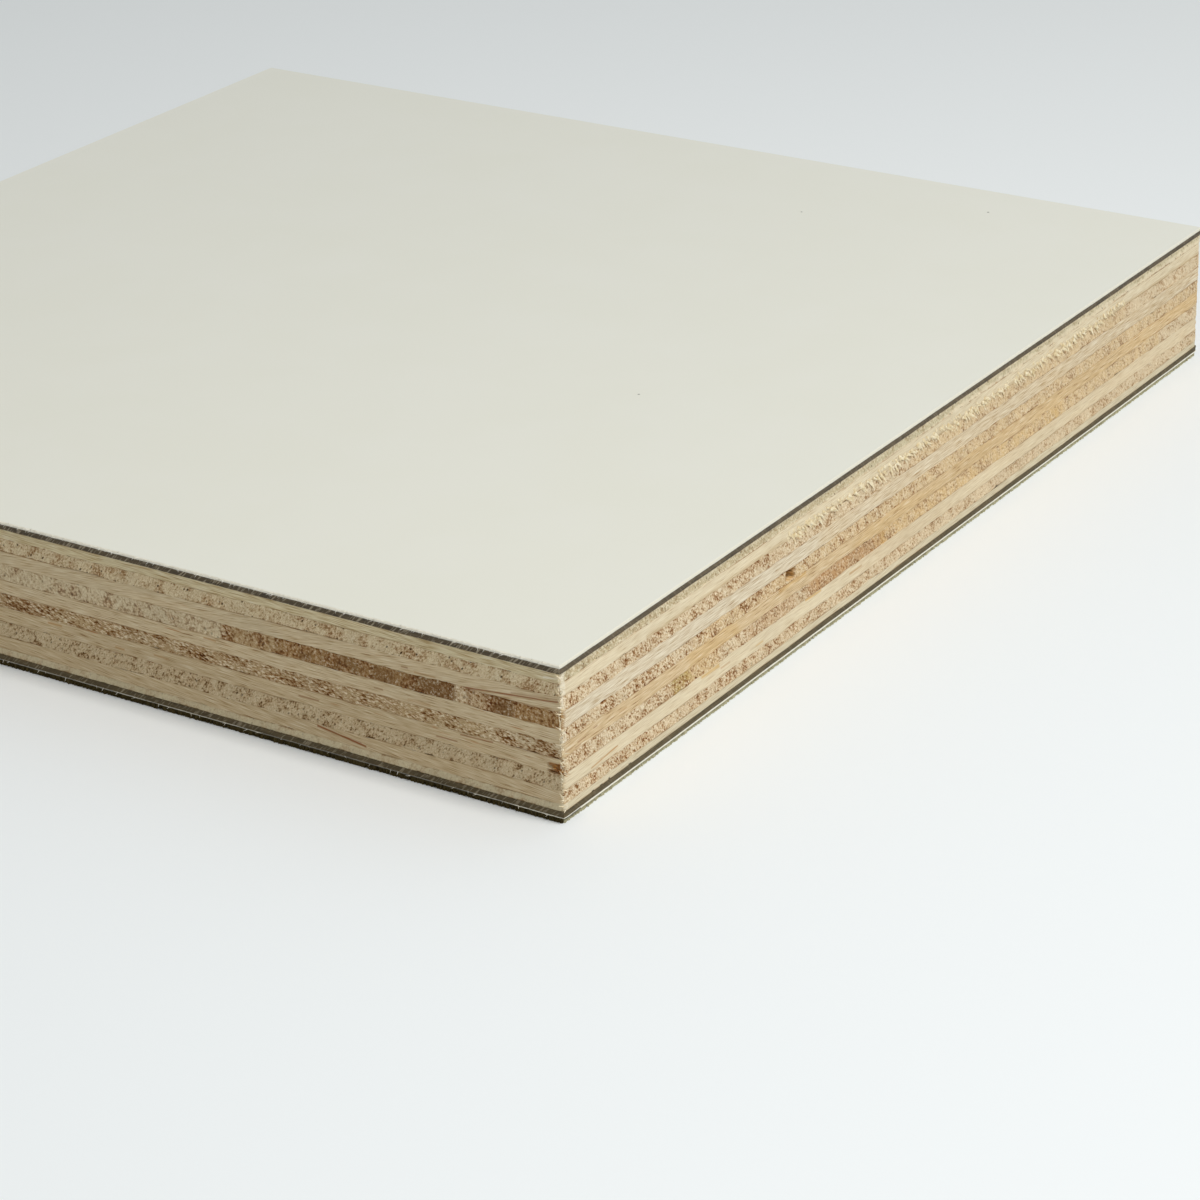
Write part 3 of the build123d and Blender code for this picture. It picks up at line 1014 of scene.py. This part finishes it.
def satin_melamine(name, face_height, edge_tone, shade_bands=()):
    """Off-white decor paper under melamine: cloudy print, satin grain, a few specks and a raw edge,
    painted lighter on the left as painted light, with any given bands painted dark as painted shade.
    """
    finish, paint, shader, spot = new_finish(name, roughness=0.45, specular=0.5)
    feed(finish.node_tree, shader, MELAMINE_COAT)
    clouds = paint("ShaderNodeTexNoise", {"Vector": spot, "Scale": 1 / PRINT_CLOUD, "Detail": 3})
    clouds = paint("ShaderNodeMapRange", {"Value": clouds, **CLOUDED})
    cells = paint("ShaderNodeTexVoronoi", {"Vector": spot, "Scale": 1 / SPECK_SPACING}).outputs
    dot = paint("ShaderNodeMapRange", {"Value": cells["Distance"], **SPECK})
    lot = paint("ShaderNodeSeparateColor", {0: cells["Color"]}).outputs["Red"]
    lot = paint("ShaderNodeMath", {0: lot, 1: SPECK_SHARE}, operation="LESS_THAN")
    dot = paint("ShaderNodeMath", {0: dot, 1: lot}, operation="MULTIPLY")
    satin = paint("ShaderNodeTexNoise", {"Vector": spot, "Scale": 1 / SATIN_GRAIN, "Detail": 2})
    height = paint("ShaderNodeSeparateXYZ", {0: spot}).outputs["Z"]
    behind = paint("ShaderNodeMath", {0: height, 1: face_height}, operation="SUBTRACT")
    behind = paint("ShaderNodeMath", {0: behind}, operation="ABSOLUTE")
    raw = paint("ShaderNodeMapRange", {"Value": behind, "From Min": 0, "From Max": PAPER_EDGE})
    on_end = paint("ShaderNodeAttribute", attribute_name="end_grain").outputs["Fac"]
    # the raw rim on the left, which faces away from the lamp, is painted lighter: partly pale fluff,
    # partly painted light
    fluff_and_light = paint("ShaderNodeMath", {0: raw, 1: on_end}, operation="MULTIPLY")
    coats = [(clouds, CLOUD_TONE), (dot, SPECK_TONE), (raw, edge_tone), (fluff_and_light, FLUFF_AND_LIGHT_TONE)]
    tear = paint("ShaderNodeTexNoise", {"Vector": spot, "Scale": 1 / TEAR_WAVE, "Detail": 3})
    # each band paints the rim dark: painted shade, for the shadow in the gap under the panel
    for band in shade_bands:
        coats.append((band_mask(paint, spot, tear, band), GAP_SHADE_TONE))
    paper = linear(PAPER_TONE)
    for mask, tone in coats:
        parts = {"Factor": mask, "A": paper, "B": linear(tone)}
        paper = paint("ShaderNodeMix", parts, data_type="RGBA")
    rough = paint("ShaderNodeMapRange", {"Value": satin, **SATIN_ROUGHNESS})
    bump = paint("ShaderNodeBump", {**SATIN_RELIEF, "Height": satin})
    feed(finish.node_tree, shader, {"Base Color": paper, "Roughness": rough, "Normal": bump})
    return finish


print("satin grain", SATIN_GRAIN / MM, "mm wide, specks in cells of", SPECK_SPACING / MM, "mm")

# %% The two decor sheets
DECOR_ARRIS = 0.14 * MM
decor_shape = {
    **PAPER_RIM,
    "Rows": 3,
    "Pit size": 0.5 * MM,
    "End depth": 0.06 * MM,
    "Waver": 0.04 * MM,
    "Rim map share": 0.2,
    "Seed": 12,
}
upper_shape = {**decor_shape, "Eased above": DECOR_ARRIS, "Upper map share": 0.79, "Lower map share": 0.2}
upper = satin_melamine("satin_melamine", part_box("top_decor")[1].z, "#e2ddca")
saw_layer("top_decor", upper, "decor_laminate", **upper_shape)
# start, end, height and strength of each stretch of painted shade along the lower rim, for the shadow in
# the gap under it
gap_shade = ((-1, 151, 0.18, 1), (11, 38, 0.3, 0.8), (58, 151, 0.3, 0.5), (7, 151, 0.3, 0.25))
painted_shade_rim = [
    mark("left", start, end, -0.3, high, "char", strength, soft=0.04, inset=(-1, 3))
    for start, end, high, strength in gap_shade
]
lower_shape = {
    **decor_shape,
    "Eased below": DECOR_ARRIS,
    "Upper map share": 0.2,
    "Lower map share": 0.79,
    "Pocket centre": (-HALF_SIDE * MM, 0, 0.05 * MM),
    "Pocket size": (1 * MM, 160 * MM, 0.22 * MM),
    "Pocket depth": 0.9 * MM,
    "Pocket raggedness": 0.15 * MM,
}
broken = satin_melamine("satin_melamine_broken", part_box("bottom_decor")[0].z, "#f3eedd", painted_shade_rim)
saw_layer("bottom_decor", broken, "decor_laminate", **lower_shape)

# %% [markdown]
# A saw tears as well as cuts. It leaves pale tufts where the long fibres of one veneer hang over the
# next, fluff of paper on the decor's edge, and splinters on the sharp corner. Each is the same thing
# many times, a thin bent cone on a line of points, so a second tree makes them, with a fixed seed so
# that they stay where they are.

# %% Fibres on a line of points
fibre_tree, shred, told = new_tree(
    "torn_fibres",
    {
        "First point": "Vector",
        "Last point": "Vector",
        "Count": "Int",
        "Scatter": "Vector",
        "Size": "Vector",
        "Lie": "Vector",
        "Turn": "Vector",
        "Curl": "Float",
        "Tip share": "Float",
        "Smallest": "Float",
        "Seed": "Int",
        "Finish": "Material",
    },
    "Fibres",
)
row = shred(
    "GeometryNodeMeshLine",
    {"Count": told["Count"], "Start Location": told["First point"], "Offset": told["Last point"]},
    mode="END_POINTS",
)
ranges = {}
for name, middle, spread in (("place", (0, 0, 0), told["Scatter"]), ("turn", told["Lie"], told["Turn"])):
    least = shred("ShaderNodeVectorMath", {0: middle, 1: spread}, operation="SUBTRACT")
    most = shred("ShaderNodeVectorMath", {0: middle, 1: spread}, operation="ADD")
    ranges[name] = shred(
        "FunctionNodeRandomValue",
        {"Min": least, "Max": most, "Seed": told["Seed"]},
        data_type="FLOAT_VECTOR",
    )
strewn = shred("GeometryNodeSetPosition", {"Geometry": row, "Offset": ranges["place"]})
print("points are strewn by", len(fibre_tree.nodes), "nodes")

# %% One bent fibre
FIBRE_SIDES = 4
FIBRE_JOINTS = 3
LARGEST = 1.1

tip = shred("ShaderNodeMath", {0: told["Tip share"], 1: 0.5}, operation="MULTIPLY")
cone = shred(
    "GeometryNodeMeshCone",
    {
        "Vertices": FIBRE_SIDES,
        "Side Segments": FIBRE_JOINTS,
        "Radius Top": tip,
        "Radius Bottom": 0.5,
        "Depth": 1,
    },
)
height = shred("ShaderNodeSeparateXYZ", {0: shred("GeometryNodeInputPosition")}).outputs["Z"]
bow = shred("ShaderNodeMath", {0: height, 1: 2}, operation="POWER")
bow = shred("ShaderNodeMath", {0: bow, 1: told["Curl"]}, operation="MULTIPLY")
bow = shred("ShaderNodeCombineXYZ", {0: bow})
bent = shred("GeometryNodeSetPosition", {"Geometry": cone, "Offset": bow})
growth = shred("FunctionNodeRandomValue", {"Min": told["Smallest"], "Max": LARGEST, "Seed": told["Seed"]})
sized = shred("ShaderNodeVectorMath", {0: told["Size"], "Scale": growth}, operation="SCALE")
tufts = shred(
    "GeometryNodeInstanceOnPoints",
    {"Points": strewn, "Instance": bent, "Rotation": ranges["turn"], "Scale": sized},
)
realized = shred("GeometryNodeRealizeInstances", {"Geometry": tufts})
finished = shred("GeometryNodeSetMaterial", {"Geometry": realized, "Material": told["Finish"]})
shred("NodeGroupOutput", {"Fibres": finished})
print("torn_fibres has", len(fibre_tree.nodes), "nodes")


# %% Fibre finishes
FIBRE_PATCH = 0.4 * MM
PATCHED = {"From Min": 0.35, "From Max": 0.65}


def torn_fibre(name, dark, light):
    """Loose fibre: dull and paler than what it came from, since its broken faces scatter the light."""
    finish, paint, shader, spot = new_finish(name, roughness=0.9, specular=0.15)
    patchy = paint("ShaderNodeTexNoise", {"Vector": spot, "Scale": 1 / FIBRE_PATCH, "Detail": 2})
    patchy = paint("ShaderNodeMapRange", {"Value": patchy, **PATCHED})
    parts = {"Factor": patchy, "A": linear(dark), "B": linear(light)}
    tone = paint("ShaderNodeMix", parts, data_type="RGBA")
    feed(finish.node_tree, shader, {"Base Color": tone})
    return finish


wood_fluff = torn_fibre("torn_sapwood", "#e2cfa6", "#faf1da")
tuft_fluff = torn_fibre("torn_veneer", "#dfc99c", "#f6e9ca")
rust_fluff = torn_fibre("torn_heartwood", "#8d5a2e", "#dca763")
paper_fluff = torn_fibre("torn_paper", "#d8d3c4", "#f4f1e8")
# near-black fibre for the burrs of the left edge: painted shade for the shadow in the gap there
gap_shade_fluff = torn_fibre("gap_shade_fibre", "#43381d", "#5c5030")
# olive-grey fibre for the burrs of the right edge: painted shade for the half-lit gap there
gap_half_shade_fluff = torn_fibre("gap_half_shade_fibre", "#aaa383", "#c8c2a2")

# %% Where the fibres hang
# most fibres end in a point, but the burrs of the lower edge are blunt stubs of nearly one size
POINTED = {"Tip share": 0.1, "Smallest": 0.45}
BLUNT = {"Tip share": 0.8, "Smallest": 0.95}
# lengths in mm, turns in radians
FIBRES = {
    "tufts_right": {
        "First point": (-31, -74.95, 14.1), "Last point": (52, -74.95, 14.1), "Count": 300,
        "Scatter": (0.6, 0.05, 0.4), "Size": (0.5, 0.1, 1.5), "Lie": (0.05, 2.3, 0),
        "Turn": (0.08, 0.4, 0.2), "Curl": 0.2, "Seed": 1, "Finish": tuft_fluff,
        "slot": "veneer_crosswise",
    },
    "fluff_left": {
        "First point": (-74.97, -74.5, 16.97), "Last point": (-74.97, 74, 16.97), "Count": 900,
        "Scatter": (0.05, 0.5, 0.08), "Size": (0.11, 0.11, 0.42), "Lie": (0, -1.6, 0),
        "Turn": (1.4, 1.1, 0.6), "Curl": 0.4, "Seed": 2, "Finish": paper_fluff,
        "slot": "decor_laminate",
    },
    "splinters_corner": {
        "First point": (-74.9, -74.9, 1.2), "Last point": (-74.9, -74.9, 16), "Count": 120,
        "Scatter": (0.14, 0.14, 0.1), "Size": (0.18, 0.14, 0.7), "Lie": (0.5, -0.5, 0),
        "Turn": (1.2, 1.2, 0.8), "Curl": 0.3, "Seed": 13, "Finish": wood_fluff,
        "slot": "veneer_crosswise",
    },
    "shards_torn": {
        "First point": (-74.75, -74.9, 5.1), "Last point": (-74.75, -73.7, 5.9), "Count": 26,
        "Scatter": (0.1, 0.3, 0.25), "Size": (0.16, 0.1, 0.9), "Lie": (1.45, 0, 0),
        "Turn": (0.25, 0.25, 0.6), "Curl": 0.2, "Seed": 8, "Finish": rust_fluff,
        "slot": "veneer_lengthwise",
    },
    "fluff_below": {
        "First point": (-75, -74, 0.25), "Last point": (-75, 74, 0.25), "Count": 70,
        "Scatter": (0.05, 1.2, 0.05), "Size": (0.1, 0.1, 0.5), "Lie": (0, -2.2, 0),
        "Turn": (1.1, 0.5, 0.6), "Curl": 0.4, "Seed": 4, "Finish": paper_fluff,
        "slot": "decor_laminate",
    },
    # the burrs under the left edge are coloured near black: painted shade for the shadow in the gap
    # beneath the panel
    "burr_left": {
        "First point": (-74.6, -74.6, 0.1), "Last point": (-74.6, 74.6, 0.1), "Count": 1700,
        "Scatter": (0.15, 0.1, 0.04), "Size": (0.36, 0.36, 0.6), "Lie": (0, math.pi, 0),
        "Turn": (0.12, 0.12, 0.5), "Curl": 0.2, "Seed": 5, **BLUNT, "Finish": gap_shade_fluff,
        "slot": "kraft_core",
    },
    # the burrs under the right edge are olive grey: painted shade for the half-lit gap under that edge
    "burr_right": {
        "First point": (-74.6, -74.7, -0.04), "Last point": (74.6, -74.7, -0.04), "Count": 1500,
        "Scatter": (0.1, 0.1, 0.02), "Size": (0.26, 0.26, 0.4), "Lie": (0, math.pi, 0),
        "Turn": (0.12, 0.12, 0.5), "Curl": 0.2, "Seed": 6, **BLUNT, "Finish": gap_half_shade_fluff,
        "slot": "decor_laminate",
    },
}
for name, values in FIBRES.items():
    for length in ("First point", "Last point", "Scatter", "Size"):
        values[length] = [part * MM for part in values[length]]
    slot = values.pop("slot")
    piece = grow(name, fibre_tree, {**POINTED, **values})
    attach(piece, "root")

# %% [markdown]
# The table is a plain pale surface, a little cool against the warm wood. It is far larger than the
# view, so that its edge never shows, and it lies a hair below the panel, which stands on the burrs of
# its lower edge: that gap, with the burrs in it coloured dark as painted shade, is the dark line under
# a real sawn panel. It is staged, because it isn't part of the object.

# %% Floor
FLOOR_REACH = 3000 * MM
BURR_GAP = 0.46 * MM
TABLE_TONE = "#eef1f2"
floor_mesh = bpy.data.meshes.new("pale_table")
signs = ((-1, -1), (1, -1), (1, 1), (-1, 1))
floor_corners = [(x * FLOOR_REACH, y * FLOOR_REACH, -BURR_GAP) for x, y in signs]
floor_mesh.from_pydata(floor_corners, [], [(0, 1, 2, 3)])
floor = bpy.data.objects.new("pale_table", floor_mesh)
bpy.context.scene.collection.objects.link(floor)
table_finish, _, table_shader, _ = new_finish("matt_table", roughness=0.8, specular=0.5)
feed(table_finish.node_tree, table_shader, {"Base Color": linear(TABLE_TONE)})
floor_mesh.materials.append(table_finish)
print("floor", round(2 * FLOOR_REACH), "m wide")

# %% [markdown]
# The light is one soft lamp, high over the side that the right edge faces, so that edge is bright and
# the left one lies in soft shade. The room fills in the rest: its walls are brighter on the far right
# than behind the viewer's left shoulder, which is why the sky here is graded from one side to the
# other.

# %% Light
KEY_PLACE = (-88, -383, 610)
KEY_SIZE = 205
KEY_POWER = 3.31
SHADED_SIDE = "#5b5344"
BRIGHT_SIDE = "#d3d9db"

world = bpy.data.worlds.new("soft_room")
bpy.context.scene.world = world
world.use_nodes = True
room = world.node_tree
sky = add(room, "ShaderNodeTexCoord").outputs["Generated"]
heading = add(room, "ShaderNodeSeparateXYZ", {0: sky}).outputs["X"]
side = add(room, "ShaderNodeMapRange", {"Value": heading, "From Min": -1, "From Max": 1})
parts = {"Factor": side, "A": linear(SHADED_SIDE), "B": linear(BRIGHT_SIDE)}
tint = add(room, "ShaderNodeMix", parts, data_type="RGBA")
feed(room, room.nodes["Background"], {"Color": tint})
key_lamp = bpy.data.lights.new("key_right", "AREA")
key_lamp.shape = "SQUARE"
key_lamp.size = KEY_SIZE * MM
key_lamp.energy = KEY_POWER
key = bpy.data.objects.new("key_right", key_lamp)
bpy.context.scene.collection.objects.link(key)
key.location = Vector(KEY_PLACE) * MM
key.rotation_euler = (-Vector(KEY_PLACE)).to_track_quat("-Z", "Y").to_euler()
print("key light", round(key.location.length, 2), "m away")

# %% [markdown]
# The camera stands where the photograph was taken from. Its place and lens were solved from the panel's
# edges: the long lens keeps them nearly parallel. The small roll is how the camera was held.

# %% Camera
SENSOR = 36
LENS = 112.667
CAMERA_PLACE = (-349.6, -261.2, 176.5)
CAMERA_TARGET = (-59.87, -69.96, 17.12)
CAMERA_ROLL = math.radians(-1.52)
NEAR_CLIP = 10 * MM

camera_data = bpy.data.cameras.new("photo_view")
camera_data.sensor_width = SENSOR
camera_data.lens = LENS
camera_data.clip_start = NEAR_CLIP
camera = bpy.data.objects.new("photo_view", camera_data)
bpy.context.scene.collection.objects.link(camera)
camera.location = Vector(CAMERA_PLACE) * MM
sight = (Vector(CAMERA_TARGET) - Vector(CAMERA_PLACE)).to_track_quat("-Z", "Y").to_matrix()
camera.rotation_euler = (sight @ Matrix.Rotation(CAMERA_ROLL, 3, "Z")).to_euler()
bpy.context.scene.camera = camera
bpy.context.scene.view_settings.view_transform = "Standard"
print("camera", round(camera.location.length, 2), "m from the panel")
